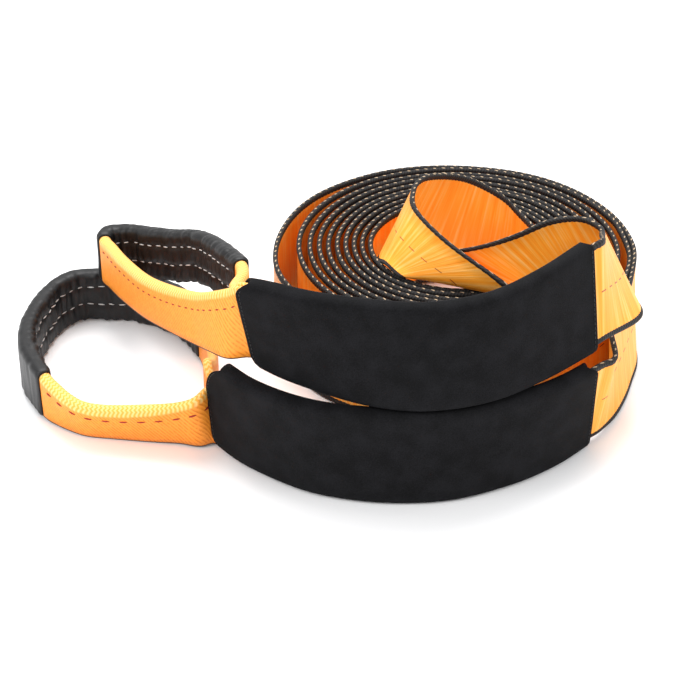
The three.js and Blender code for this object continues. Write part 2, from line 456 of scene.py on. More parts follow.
class Ribbon:
    """A band between two smooth edges, measured along its middle."""

    def __init__(self, stations: Sequence[np.ndarray], origin: Vector, grain: int = 8) -> None:
        """Samples the stations.

        Args:
            stations: the band's stations, measured from the coil's axis.
            origin: where that axis stands on the floor.
            grain: the steps between each two stations.
        """
        self.origin = np.array(origin)
        self.stations = np.array(stations)
        steps = (len(stations) - 1) * grain
        rows = np.array([curve(self.stations, i / steps) for i in range(steps + 1)])
        middle = (rows[:, 0:3] + rows[:, 3:6]) / 2
        across = rows[:, 3:6] - rows[:, 0:3]
        width = np.linalg.norm(across, axis=1, keepdims=True)
        out = np.cross(np.gradient(middle, axis=0), across)
        out /= np.linalg.norm(out, axis=1, keepdims=True)
        self.rows = np.hstack([middle, across / width, out, width, rows[:, 6:7]])
        legs = np.linalg.norm(np.diff(middle, axis=0), axis=1)
        self.reach = np.concatenate([[0.0], np.cumsum(legs)])
        self.length = float(self.reach[-1])

    def at(self, along: np.ndarray) -> np.ndarray:
        """The middle, the two directions, the width and the thickness, as rows, at some lengths."""
        return np.array([np.interp(along, self.reach, column) for column in self.rows.T]).T

    def width(self, along: np.ndarray) -> np.ndarray:
        """The band's width at some lengths."""
        return np.interp(along, self.reach, self.rows[:, 9])

    def thickness(self, along: np.ndarray) -> np.ndarray:
        """The band's thickness at some lengths."""
        return np.interp(along, self.reach, self.rows[:, 10])

    def place(self, along: np.ndarray, across: np.ndarray, out: np.ndarray) -> np.ndarray:
        """Points at some lengths, so far across from the middle and so far out of the face."""
        rows = self.at(along)
        flat = rows[:, 0:3] + rows[:, 3:6] * across[:, None]
        return flat + rows[:, 6:9] * out[:, None] + self.origin

    def hung(self, along: np.ndarray, across: np.ndarray, out: np.ndarray) -> Placed:
        """The same points for a skin, with how far each is below the high edge."""
        half = self.width(along) / 2
        points = self.place(along, across, out)
        return points, np.column_stack([along, half - across, out]), across + half

    def inset(self, share: float, width: float, thickness: float, out: float,
              sink: float = 0.0) -> np.ndarray:
        """A station on this band's middle line, moved out of its face.

        Args:
            share: how far along the band's stations, from 0 to 1.
            width: of the new station.
            thickness: of the new station.
            out: how far it is moved.
            sink: how far it is moved down the face.

        Returns:
            The station.
        """
        i = share * (len(self.rows) - 1)
        row = self.rows[int(round(i))]
        middle = row[0:3] + row[6:9] * out - row[3:6] * sink
        return station(middle - row[3:6] * width / 2, middle + row[3:6] * width / 2, thickness)


@dataclass(frozen=True)
class Oblong:
    """A flat oblong section with rounded corners."""

    half_width: float
    half_thickness: float
    corner: float

    def point(self, share: float) -> tuple[float, float, float, float]:
        """A point of the outline, which starts in the middle of the low edge.

        Args:
            share: how far round the outline, from 0 to 1.

        Returns:
            How far across and out the point is, and the way that the outline faces there.
        """
        if share > 0.5:
            across, out, u, v = self.point(1.0 - share)
            return across, -out, u, -v
        if share > 0.25:
            across, out, u, v = self.point(0.5 - share)
            return -across, out, -u, v
        flat, run = self.half_thickness - self.corner, self.half_width - self.corner
        bend = self.corner * math.pi / 2
        way = share * 4 * (flat + bend + run)
        if way <= flat:
            return -self.half_width, way, -1.0, 0.0
        if way <= flat + bend:
            t = (way - flat) / self.corner
            return (-run - self.corner * math.cos(t), flat + self.corner * math.sin(t),
                    -math.cos(t), math.sin(t))
        return way - flat - bend - run, self.half_thickness, 0.0, 1.0


# The mesh of a band's skin


def skin(name: str, rows: int, around: int,
         place: Callable[[np.ndarray, np.ndarray], Placed]) -> bpy.types.Object:
    """Bends a grid round a band into one closed skin.

    Args:
        name: the piece's name.
        rows: the grid's steps along the band.
        around: its steps round the band.
        place: takes each vertex's row and place round the band, and gives its point, its tape
            coordinates and its height above the band's low edge.

    Returns:
        The piece, smooth shaded, in its place.
    """
    mesh = bmesh.new()
    tape = mesh.verts.layers.float_vector.new("tape")
    foot = mesh.verts.layers.float.new("foot")
    bmesh.ops.create_grid(mesh, x_segments=rows, y_segments=around, size=0.5)
    cells = np.array([vert.co for vert in mesh.verts]) + 0.5
    row = np.rint(cells[:, 0] * rows).astype(int)
    spoke = np.rint(cells[:, 1] * around).astype(int) % around
    for vert, point, mark, rise in zip(mesh.verts, *place(row, spoke)):
        vert.co = point
        vert[tape] = mark
        vert[foot] = rise
    bmesh.ops.remove_doubles(mesh, verts=mesh.verts, dist=MERGE)
    rims = [edge for edge in mesh.edges if edge.is_boundary]
    if rims:
        bmesh.ops.holes_fill(mesh, edges=rims, sides=0)
    bmesh.ops.recalc_face_normals(mesh, faces=mesh.faces)
    return finished(name, mesh)


def finished(name: str, mesh: bmesh.types.BMesh) -> bpy.types.Object:
    """Turns a bmesh into an object of the scene.

    Args:
        name: the piece's name.
        mesh: its bmesh, which is freed.

    Returns:
        The piece, smooth shaded.
    """
    for face in mesh.faces:
        face.smooth = True
    data = bpy.data.meshes.new(name)
    mesh.to_mesh(data)
    mesh.free()
    piece = bpy.data.objects.new(name, data)
    bpy.context.scene.collection.objects.link(piece)
    return piece


def dressed(piece: bpy.types.Object, material: bpy.types.Material,
            nodes: Iterable[str] = ()) -> bpy.types.Object:
    """Gives a piece its finish and lets it ride on the strap's body.

    Args:
        piece: the piece.
        material: its finish.
        nodes: the CAD nodes that it stands for.

    Returns:
        The piece.
    """
    piece.data.materials.append(material)
    for node in nodes:
        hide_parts(node)
    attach(piece, BODY)
    log.info("%s: %d faces", piece.name, len(piece.data.polygons))
    return piece


# The strap's sizes


@dataclass(frozen=True)
class Sizes:
    """What the pieces share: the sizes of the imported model, in metres."""

    web_width: float = 75 * MM
    web_thickness: float = 4 * MM
    bore_radius: float = 67.7 * MM
    pack_radius: float = 127.1 * MM
    sleeve_width: float = 82 * MM
    sleeve_thickness: float = 14.4 * MM
    sleeve_corner: float = 5 * MM
    sleeve_wall: float = 2.4 * MM
    eye_width: float = 39 * MM
    eye_thickness: float = 9 * MM
    pad_wall: float = 1.7 * MM
    clearance: float = 0.4 * MM
    slot_clearance: float = 0.7 * MM
    sleeve_exit: float = 14 * MM
    splice_steps: int = 4
    frame_steps: int = 4

    @property
    def slot_thickness(self) -> float:
        """The thickness of the opening through a sleeve."""
        return self.sleeve_thickness - 2 * self.sleeve_wall

    @property
    def splice_thickness(self) -> float:
        """The thickness of each leg of an eye inside a sleeve."""
        return (self.slot_thickness - 2 * self.slot_clearance - self.clearance) / 2

    @property
    def pad_skin(self) -> float:
        """How far a pad stands off its eye."""
        return self.pad_wall + self.clearance


SIZES = Sizes()
LOWER_ROUTE = ((-138.5, 115, 4), (-128, 118, 8), (-117, 118, 8), (-106, 111, 7),
               (-95, 101, 7), (-84, 86, 8), (-73, 71, 9), (-62, 57, 10))
UPPER_ROUTE = ((-129.5, 115.5, 13), (-118, 113.5, 9), (-107, 112.5, 2), (-98, 108.5, 0),
               (-88, 94.5, -2), (-77.5, 72, -6), (-63, 48.5, -11))


@dataclass
class Sleeve:
    """A padded sleeve over a splice: a flat tube with soft corners and sewn ends."""

    name: str
    route: Sequence[tuple[float, float, float]]
    low: float
    corners: tuple[float, float, float, float]
    origin: Vector
    around: int = 72
    rows: int = 150
    hem: float = 4.2 * MM
    inside: float = 12 * MM
    puff: float = 0.5 * MM
    slant: float = 0.0
    mouth: float = 64 * MM
    sink: float = 0.0
    pinch: float = 0.10
    pinch_length: float = 34 * MM
    thin_top: float = 0.12
    thin_from: float = 0.3
    end_softness: float = 0.97
    end_share: float = 0.06
    round_share: float = 0.4
    lining_corner: float = 1.5 * MM
    wrinkle: float = 0.9 * MM
    wrinkles: tuple[float, float] = (28.0, 22.0)
    seam_points: int = 60
    seam_share: float = 0.9
    seam_lift: float = 0.12 * MM
    ribbon: Ribbon = field(init=False)

    def __post_init__(self) -> None:
        """Lays the sleeve's route."""
        size = SIZES
        stations = [standing(angle, size.pack_radius + standoff * MM, self.low, lean,
                             size.sleeve_width, size.sleeve_thickness, size.sleeve_corner)
                    for angle, standoff, lean in self.route]
        self.ribbon = Ribbon(stations, self.origin)

    def strap(self) -> list[np.ndarray]:
        """The strap's stations inside, from past the splice to just out of the right end."""
        size = SIZES
        last = (len(self.route) - 1) * size.frame_steps
        out = (size.slot_thickness - size.web_thickness) / 2 - size.slot_clearance
        steps = [i for i in range(last + 1) if i > size.splice_steps and (last - i) % 2 == 0]
        inner = [self.ribbon.inset(i / last, size.web_width, size.web_thickness, out)
                 for i in steps]
        ahead = self.ribbon.rows[-1][0:3] - self.ribbon.rows[-2][0:3]
        ahead *= size.sleeve_exit / np.linalg.norm(ahead)
        past = inner[-1] + np.array([*ahead, *ahead, 0.0])
        return [*inner, past]

    def splice(self, side: int) -> list[np.ndarray]:
        """The stations of one leg of the eye inside, from the splice to the left end.

        Args:
            side: 1 for the leg in front, and -1 for the one behind it.

        Returns:
            The stations.
        """
        size = SIZES
        last = (len(self.route) - 1) * size.frame_steps
        out = side * (size.splice_thickness + size.clearance) / 2
        widths = (size.web_width, (size.web_width + self.mouth) / 2, self.mouth)
        sinks = (0.0, self.sink / 2, self.sink)
        steps = (size.splice_steps, size.splice_steps / 2, 0)
        return [self.ribbon.inset(i / last, width, size.splice_thickness, out, sink)
                for i, width, sink in zip(steps, widths, sinks)]

    def ends(self, across: np.ndarray) -> tuple[np.ndarray, np.ndarray]:
        """Where the sleeve's ends lie along its route.

        Args:
            across: heights on its faces, from the middle.

        Returns:
            The left end and the right end at those heights.
        """
        half = SIZES.sleeve_width / 2
        found = []
        for low_corner, high_corner in (self.corners[:2], self.corners[2:]):
            corner = np.where(across < 0, low_corner, high_corner)
            past = np.clip(np.abs(across) - (half - corner), 0.0, corner)
            found.append(corner - np.sqrt(corner**2 - self.end_softness * past**2))
        slope = self.slant * (across / half + 1) / 2
        return found[0], self.ribbon.length - found[1] - slope

    def surface(self, along: np.ndarray, across: np.ndarray, out: np.ndarray) -> np.ndarray:
        """Points on the skin, which is narrower at the eye and thinner on top.

        Args:
            along: lengths along the sleeve.
            across: heights on its faces.
            out: distances out of its middle.

        Returns:
            The points, in the model's frame.
        """
        half, thick = SIZES.sleeve_width / 2, SIZES.sleeve_thickness / 2
        near = np.clip(1 - along / self.pinch_length, 0.0, 1.0) ** 2
        top = np.clip((across / half - self.thin_from) / (1 - self.thin_from), 0.0, 1.0)
        thin = self.thin_top * top * top * (3 - 2 * top)
        out = out * (1 - thin) + thick * thin
        return self.ribbon.place(along, across * (1 - self.pinch * near), out)

    def swell(self, along: np.ndarray, across: np.ndarray) -> np.ndarray:
        """How far the padding and the soft wrinkles lift the cloth.

        Args:
            along: lengths along the sleeve.
            across: heights on its faces.

        Returns:
            The heights off the flat.
        """
        half = SIZES.sleeve_width / 2
        plump = self.puff * np.sin(np.clip(along / self.ribbon.length, 0, 1) * math.pi) ** 0.5
        fine, tall = self.wrinkles
        wrinkle = np.array([noise.noise(Vector((s * fine, a * tall, self.low * 40)))
                            for s, a in zip(along, across)]) * self.wrinkle
        return (plump + wrinkle) * np.clip(1 - np.abs(across) / half, 0, 1) ** 0.5

    def build(self) -> bpy.types.Object:
        """The sleeve's skin, outside and a little way in at both ends."""
        size = SIZES
        half = size.sleeve_width / 2
        outer = Oblong(half, size.sleeve_thickness / 2, size.sleeve_corner)
        inner = Oblong(half - size.sleeve_wall, size.slot_thickness / 2, self.lining_corner)
        outline = np.array([outer.point(i / self.around) for i in range(self.around)])
        lining = np.array([inner.point(i / self.around) for i in range(self.around)])

        def place(row: np.ndarray, spoke: np.ndarray) -> Placed:
            """Puts the skin's vertices: in at the left end, along the outside, in at the right."""
            span, end = row / self.rows, self.end_share
            middle = np.clip((span - end) / (1 - 2 * end), 0.0, 1.0)
            lip = np.maximum(1 - np.minimum(span, 1 - span) / end, 0.0)
            rounding = np.clip(lip / self.round_share, 0.0, 1.0)
            deep = np.clip((lip - self.round_share) / (1 - self.round_share), 0.0, 1.0)
            share = 1 - np.cos(rounding * math.pi / 2)
            across = outline[spoke, 0] * (1 - share) + lining[spoke, 0] * share
            out = outline[spoke, 1] * (1 - share) + lining[spoke, 1] * share
            left, right = self.ends(outline[spoke, 0])
            soft = size.sleeve_wall * np.sin(rounding * math.pi / 2) - self.inside * deep
            left, right = left + size.sleeve_wall, right - size.sleeve_wall
            along = left + (right - left) * middle
            along = along + np.where(span < 0.5, -soft, soft)
            out = out + np.sign(out) * self.swell(along, across) * (1 - lip)
            points = self.surface(along, across, out)
            return points, np.column_stack([along, across, out]), across + half

        return skin(f"{self.name}_padded", self.rows, self.around, place)

    def stitches(self) -> list[np.ndarray]:
        """The seams beside both ends: rows of thread on both faces."""
        size = SIZES
        seams = []
        for face in Face:
            across = np.linspace(-self.seam_share, self.seam_share, self.seam_points)
            across = across * (size.sleeve_width / 2)
            left, right = self.ends(across)
            for along in (left + self.hem, right - self.hem):
                lift = size.sleeve_thickness / 2 + self.swell(along, across) + self.seam_lift
                seams.append(self.surface(along, across, face.value * lift))
        return seams


@dataclass
class Webbing:
    """The whole tape between the splices: one outer turn, a wound pack and a folded inner end."""

    lower: Sleeve
    upper: Sleeve
    origin: Vector
    cord_radius: float = 1.95 * MM
    cord_sides: int = 10
    flat_half: float = 1.45 * MM
    last_radius: float = 69.3 * MM
    pitch: float = 6.3 * MM
    slack: float = 4.3 * MM
    packed: float = 8.0
    last_angle: float = 3420.0
    wound_angles: tuple[float, float, float] = (372.0, 3590.0, 12.0)
    rim_height: float = 0.8 * MM
    rim_play: float = 1.3 * MM
    side_play: float = 0.5 * MM
    pack_step: float = 5.0 * MM
    free_step: float = 2.8 * MM
    ribbon: Ribbon = field(init=False)
    free_until: float = field(init=False)
    free_from: float = field(init=False)

    def __post_init__(self) -> None:
        """Lays the tape's route from the lower sleeve to the upper one."""
        outer = self.outer_turn()
        wound = self.wound_turns()
        inner = self.inner_end()
        self.ribbon = Ribbon([*outer, *wound, *inner], self.origin)
        total = len(outer) + len(wound) + len(inner) - 1
        grain = (len(self.ribbon.rows) - 1) // total
        self.free_until = float(self.ribbon.reach[(len(outer) - 1) * grain])
        self.free_from = float(self.ribbon.reach[(len(outer) + len(wound) - 1) * grain])

    def upright(self, angle: float, radius: float, low: float = 0.0,
                lean: float = 0.0) -> np.ndarray:
        """A station of the tape that stands on edge."""
        return standing(angle, radius, low, lean, SIZES.web_width, SIZES.web_thickness)

    def outer_turn(self) -> list[np.ndarray]:
        """Out of the lower sleeve and once round the pack."""
        pack = SIZES.pack_radius
        leaning = [(-50, 36, -7, 0.6), (-42, 25, -10, 0.4), (-33, 17, -9, 0.3), (-20, 11, -7, 0)]
        round_pack = [(0, 5.6), (22, 4.2), (45, 4.0), (67, 3.6), (92, 3.8), (115, 7.0), (138, 10),
                      (158, 12), (180, 14.5), (200, 17), (225, 16), (250, 12), (275, 8.5),
                      (300, 6.5), (325, 4.2), (350, 2.2)]
        return [
            *self.lower.strap(),
            *(self.upright(a, pack + r * MM, low * MM, lean) for a, r, lean, low in leaning),
            *(self.upright(a, pack + r * MM) for a, r in round_pack),
        ]

    def wound_turns(self) -> list[np.ndarray]:
        """The pack: turns wound inwards, each rim a little higher or lower than the next."""
        turns = []
        for angle in np.arange(*self.wound_angles):
            left = (self.last_angle - angle) / 360
            radius = self.last_radius + self.pitch * left + self.slack * (left / self.packed) ** 4
            rise = noise.noise(Vector((angle / 140, 1.7, 0.3)))
            drift = noise.noise(Vector((angle / 95, 8.1, 2.2)))
            low = self.rim_height + rise * self.rim_play
            turns.append(self.upright(angle, radius + drift * self.side_play, low))
        return turns

    def inner_end(self) -> list[np.ndarray]:
        """Out of the bore, over the rims in a loop, folded on itself and into the upper sleeve."""
        hug = SIZES.bore_radius - SIZES.clearance - SIZES.web_thickness / 2
        edges = (
            ((46, 42, -69), (47, 45, 6)), ((28, 48, -59), (36, 51, 15)),
            ((4, 50, -49), (20, 54, 24)), ((-20, 44, -39), (4, 50, 33)),
            ((-44, 32, -29), (-13, 42, 39)),
            ((-60, 12, -18), (-28, 26, 45)), ((-63, -10, -11), (-36, 5, 46)),
            ((-59, -38, 4), (-35, -22, 43)), ((-52, -50, 3.6), (-12, -58, 35)),
            ((-48, -54, 3.4), (26, -87, 19)), ((-47, -47, 2.8), (42, -89, 4)),
            ((-42, -34, 8), (48, -81, 3)), ((5, -55, 29), (60, -82, 2.8)),
            ((33, -64, 44), (76, -82, 2.8)), ((58, -68, 59), (94, -80, 2.8)),
            ((80, -70, 63), (117, -84, 2.8)), ((93, -83, 63), (126, -98, 1)),
            ((92, -104, 68), (121, -117, 2)))
        rim = np.array([0.0, 0.0, SIZES.web_width])
        free = [station(np.array(a) * MM + rim, np.array(b) * MM + rim, SIZES.web_thickness)
                for a, b in edges]
        home = [np.array([*row[3:6], *row[0:3], row[6]]) for row in reversed(self.upper.strap())]
        start = [self.upright(6, hug), self.upright(20, hug - 1.6 * MM, 1.5 * MM)]
        return [*start, *free, *home]

    def outline(self) -> np.ndarray:
        """The tape's section: a thin middle with a round cord along each edge."""
        centre = SIZES.web_width / 2 - self.cord_radius
        reach = math.pi - math.asin(self.flat_half / self.cord_radius)
        bend = np.linspace(reach, -reach, self.cord_sides)
        cord = np.column_stack([np.cos(bend), np.sin(bend)]) * self.cord_radius + [centre, 0.0]
        run = np.linspace(-0.55, 0.55, 4) * centre
        near = np.column_stack([run, np.full_like(run, self.flat_half)])
        half = np.vstack([near, cord])
        return np.vstack([half, -half])

    def marks(self) -> np.ndarray:
        """The lengths at which the tape has a ring of vertices: closest where it is free."""
        spans = ((0.0, self.free_until, self.free_step),
                 (self.free_until, self.free_from, self.pack_step),
                 (self.free_from, self.ribbon.length, self.free_step))
        runs = [np.linspace(a, b, round((b - a) / step), endpoint=False) for a, b, step in spans]
        return np.concatenate([*runs, [self.ribbon.length]])

    def build(self) -> bpy.types.Object:
        """The tape as one closed body."""
        marks, outline = self.marks(), self.outline()

        def place(row: np.ndarray, spoke: np.ndarray) -> Placed:
            """Puts the tape's vertices."""
            along, across, out = marks[row], outline[spoke, 0], outline[spoke, 1]
            reach = across * self.ribbon.width(along) / SIZES.web_width
            points = self.ribbon.place(along, reach, out)
            return points, np.column_stack([along, across, out]), reach

        return skin("webbing", len(marks) - 1, len(outline), place)

    def dress(self, piece: bpy.types.Object, material: bpy.types.Material) -> None:
        dressed(piece, material, ["coil_turns", "outer_turn", "inner_end"])
        log.info("webbing is %.2f m long", self.ribbon.length)


@dataclass
class Eye:
    """An end of the tape folded to half its width and laid as a loop, back into its sleeve."""

    name: str
    sleeve: Sleeve
    steps: Sequence[tuple[float, ...]]
    step: float = 2.5 * MM
    slit: float = 0.1
    flare: float = 4.5 * MM
    seam_points: int = 200
    seam_from: float = 30 * MM
    seam_lift: float = 0.1 * MM
    ribbon: Ribbon = field(init=False)

    def __post_init__(self) -> None:
        """Lays the loop's route from the sleeve's left end."""
        size = SIZES
        first = self.sleeve.ribbon.rows[0]
        walk = []
        for dx, dy, low, width, *lean in self.steps:
            x, y = first[0] + dx * MM, first[1] + dy * MM
            forward = lean[0] * MM if lean else 0.0
            rise = math.sqrt((width * MM) ** 2 - forward**2)
            flared = width * MM > size.eye_width + self.flare
            thin = (size.eye_thickness + size.splice_thickness) / 2
            walk.append(station((x, y, low * MM), (x, y - forward, low * MM + rise),
                                thin if flared else size.eye_thickness))
        back = self.sleeve.splice(-1)[::-1]
        self.ribbon = Ribbon([*self.sleeve.splice(1), *walk, *back], self.sleeve.origin)

    def build(self) -> bpy.types.Object:
        """The folded tape as one closed body."""
        rows, outline = round(self.ribbon.length / self.step), self.outline()

        def place(row: np.ndarray, spoke: np.ndarray) -> Placed:
            """Puts the folded tape's vertices."""
            along = row / rows * self.ribbon.length
            return self.ribbon.hung(along, *self.section(along, outline[spoke]))

        return skin(f"{self.name}_folded", rows, len(outline), place)

    def outline(self) -> np.ndarray:
        """The section of two layers under a fold, as shares of its run, fold and thickness."""
        turn = np.linspace(0, math.pi / 2, 6)
        run = [(t, 0.0, 1.0) for t in np.linspace(-1.0, 1.0, 9)[:-1]]
        bend = [(1.0, math.sin(t), math.cos(t)) for t in turn]
        near = [*run, *bend]
        far = [(t, rise, -out) for t, rise, out in reversed(near[:-1])]
        slit = [(t, 0.0, self.slit) for t in np.linspace(0.97, -1.0, 6)]
        return np.array([*near, *far, *((t, r, -n) for t, r, n in reversed(slit)), *slit])

    def section(self, along: np.ndarray, marks: np.ndarray) -> tuple[np.ndarray, np.ndarray]:
        """How far across and out the section's points are, for rows of the outline."""
        half = self.ribbon.width(along) / 2
        thick = self.ribbon.thickness(along) / 2
        run = np.where(marks[:, 0] > 0, half - thick, half)
        return run * marks[:, 0] + thick * marks[:, 1], thick * marks[:, 2]

    def seam(self, fall: tuple[float, float], end: float) -> np.ndarray:
        """Points of a seam on the eye's outer face.

        Args:
            fall: how far the seam is below the fold at its start and its end.
            end: how far along the eye it ends.

        Returns:
            The points.
        """
        along = np.linspace(self.seam_from, end, self.seam_points)
        across = self.ribbon.width(along) / 2 - np.linspace(*fall, self.seam_points)
        out = Face.OUTER.value * (self.ribbon.thickness(along) / 2 + self.seam_lift)
        return self.ribbon.place(along, across, out)

    def dress(self, piece: bpy.types.Object, material: bpy.types.Material) -> None:
        dressed(piece, material, [self.name])
        log.info("%s is %.3f m long", self.name, self.ribbon.length)


@dataclass
class Pad:
    """A cloth tube gathered over the far part of an eye, with two rows of thread on its inside."""

    name: str
    eye: Eye
    span: tuple[int, int]
    around: int = 84
    step: float = 1.6 * MM
    rows_at: tuple[float, float] = (9.5 * MM, -6.0 * MM)
    row_inset: float = 4 * MM
    row_step: float = 1.5 * MM
    row_lift: float = 0.25 * MM
    row_pull: float = 0.9
    row_width: float = 2.2 * MM
    outer_share: float = 0.28
    unsewn: float = 10 * MM
    corner_share: float = 0.8
    fullness: float = 1.1
    start: float = field(init=False)
    end: float = field(init=False)

    def __post_init__(self) -> None:
        """Finds the pad's stretch of the eye."""
        ribbon = self.eye.ribbon
        grain = (len(ribbon.rows) - 1) // (len(ribbon.stations) - 1)
        self.start, self.end = (float(ribbon.reach[i * grain]) for i in self.span)

    def puckers(self, along: float, across: float, out: float) -> float:
        """How far the gathered cloth stands in or out at a place.

        Args:
            along: how far along the eye the place is.
            across: how far it is from the eye's middle.
            out: how far out, which is more than 0 on the sewn inner face.

        Returns:
            The height.
        """
        inner = out > 0
        layers = ((1.9, 210, 26, 3.0 if inner else 8.0), (1.2, 90, 60, 5.5), (0.7, 420, 90, 1.5))
        lift = sum(height * noise.noise(Vector((along * fine, across * tall, seed)))
                   for height, fine, tall, seed in layers)
        sewn = min(abs(across - row) for row in self.rows_at) if inner else self.unsewn
        pull = math.exp(-(sewn / self.row_width) ** 2)
        return (1.0 if inner else self.outer_share) * (lift - pull * self.row_pull) * MM

    def surface(self, along: np.ndarray, share: np.ndarray) -> tuple[np.ndarray, np.ndarray]:
        """How far across and out the pad's cloth is.

        Args:
            along: lengths along the eye.
            share: how far round it each place is, from 0 to 1.

        Returns:
            The distances across, and those out.
        """
        half = self.eye.ribbon.width(along) / 2 + SIZES.pad_skin
        thick = self.eye.ribbon.thickness(along) / 2 + SIZES.pad_skin
        across, out = np.empty_like(along), np.empty_like(along)
        for i, (s, w, t, v) in enumerate(zip(along, half, thick, share)):
            a, n, u, v_out = Oblong(w, t, t * self.corner_share).point(v)
            lift = self.puckers(s, a, n)
            across[i], out[i] = a + u * lift * 0.5, n + v_out * lift
        return across, out

    def build(self) -> bpy.types.Object:
        """The pad's cloth: out along the eye, turned in at the end and back beneath itself."""
        rows = round((self.end - self.start) / self.step)

        def place(row: np.ndarray, spoke: np.ndarray) -> Placed:
            """Puts the cloth's vertices."""
            there = np.where(row > rows, 2 * rows - row, row)
            along = self.start + there / rows * (self.end - self.start)
            cover = np.clip(np.minimum(row, rows - row) / 2, 0.0, 1.0) ** 0.5
            lining_across, lining_out = self.lining(along, spoke / self.around)
            across, out = self.surface(along, spoke / self.around)
            across = lining_across + (across - lining_across) * cover
            out = lining_out + (out - lining_out) * cover
            return self.eye.ribbon.hung(along, across, out)

        return skin(f"{self.name}_gathered", 2 * rows, self.around, place)

    def lining(self, along: np.ndarray, share: np.ndarray) -> tuple[np.ndarray, np.ndarray]:
        """How far across and out the cloth's inside is, close round the eye."""
        half = self.eye.ribbon.width(along) / 2 + SIZES.clearance / 2
        thick = self.eye.ribbon.thickness(along) / 2 + SIZES.clearance / 2
        found = [Oblong(w, t, t * self.corner_share).point(v)[:2]
                 for w, t, v in zip(half, thick, share)]
        return tuple(np.array(found).T)

    def seams(self) -> list[np.ndarray]:
        """The two rows of thread on the inner face, which follow its puckers."""
        seams = []
        face = SIZES.eye_thickness / 2 + SIZES.pad_skin
        along = np.arange(self.start + self.row_inset, self.end - self.row_inset, self.row_step)
        for row in self.rows_at:
            out = np.array([face + self.puckers(s, row, face) + self.row_lift for s in along])
            seams.append(self.eye.ribbon.place(along, np.full_like(along, row), out))
        return seams

    def dress(self, piece: bpy.types.Object, material: bpy.types.Material) -> None:
        dressed(piece, material, [self.name])
        length = (self.end - self.start) * self.fullness


@dataclass
class Stitching:
    """Rows of single stitches: short threads that rise from the cloth and dip back into it."""

    name: str
    finish: ThreadFinish
    length: float
    gap: float
    radius: float
    seams: list[np.ndarray] = field(default_factory=list)
    rounds: int = 6
    rings: int = 6
    taper: float = 0.35

    def build(self) -> bpy.types.Object:
        """All the stitches as one mesh."""
        mesh = bmesh.new()
        tape = mesh.verts.layers.float_vector.new("tape")
        for seam in self.seams:
            legs = np.linalg.norm(np.diff(seam, axis=0), axis=1)
            reach = np.concatenate([[0.0], np.cumsum(legs)])
            for start in np.arange(self.gap, reach[-1] - self.length, self.length + self.gap):
                self.stitch(mesh, tape, seam, reach, start)
        bmesh.ops.recalc_face_normals(mesh, faces=mesh.faces)
        return finished(self.name, mesh)

    def stitch(self, mesh: bmesh.types.BMesh, tape: bmesh.types.BMLayerItem, seam: np.ndarray,
               reach: np.ndarray, start: float) -> None:
        """Adds one stitch: a tapered thread along the seam.

        Args:
            mesh: what it is added to.
            tape: the layer of its coordinates.
            seam: the seam's points.
            reach: how far along the seam each point is.
            start: how far along the stitch starts.
        """
        made = bmesh.ops.create_uvsphere(mesh, u_segments=self.rounds, v_segments=self.rings,
                                         radius=1.0)
        ends = [np.array([np.interp(start + t * self.length, reach, column) for column in seam.T])
                for t in (0.0, 0.5, 1.0)]
        ahead = Vector(ends[2] - ends[0]).normalized()
        turn = ahead.to_track_quat("Z", "Y")
        for vert in made["verts"]:
            t = vert.co.z
            thin = self.radius * (1.0 - self.taper * abs(t) ** 3)
            local = Vector((vert.co.x * thin, vert.co.y * thin, 0.0))
            where = ends[1] + (ends[2] - ends[0]) * 0.5 * t
            vert[tape] = (start + t * self.length / 2, local.x, local.y)
            vert.co = Vector(where) + turn @ local

    def dress(self, piece: bpy.types.Object) -> bpy.types.Object:
        """Finishes the thread."""
        return dressed(piece, self.finish.material())


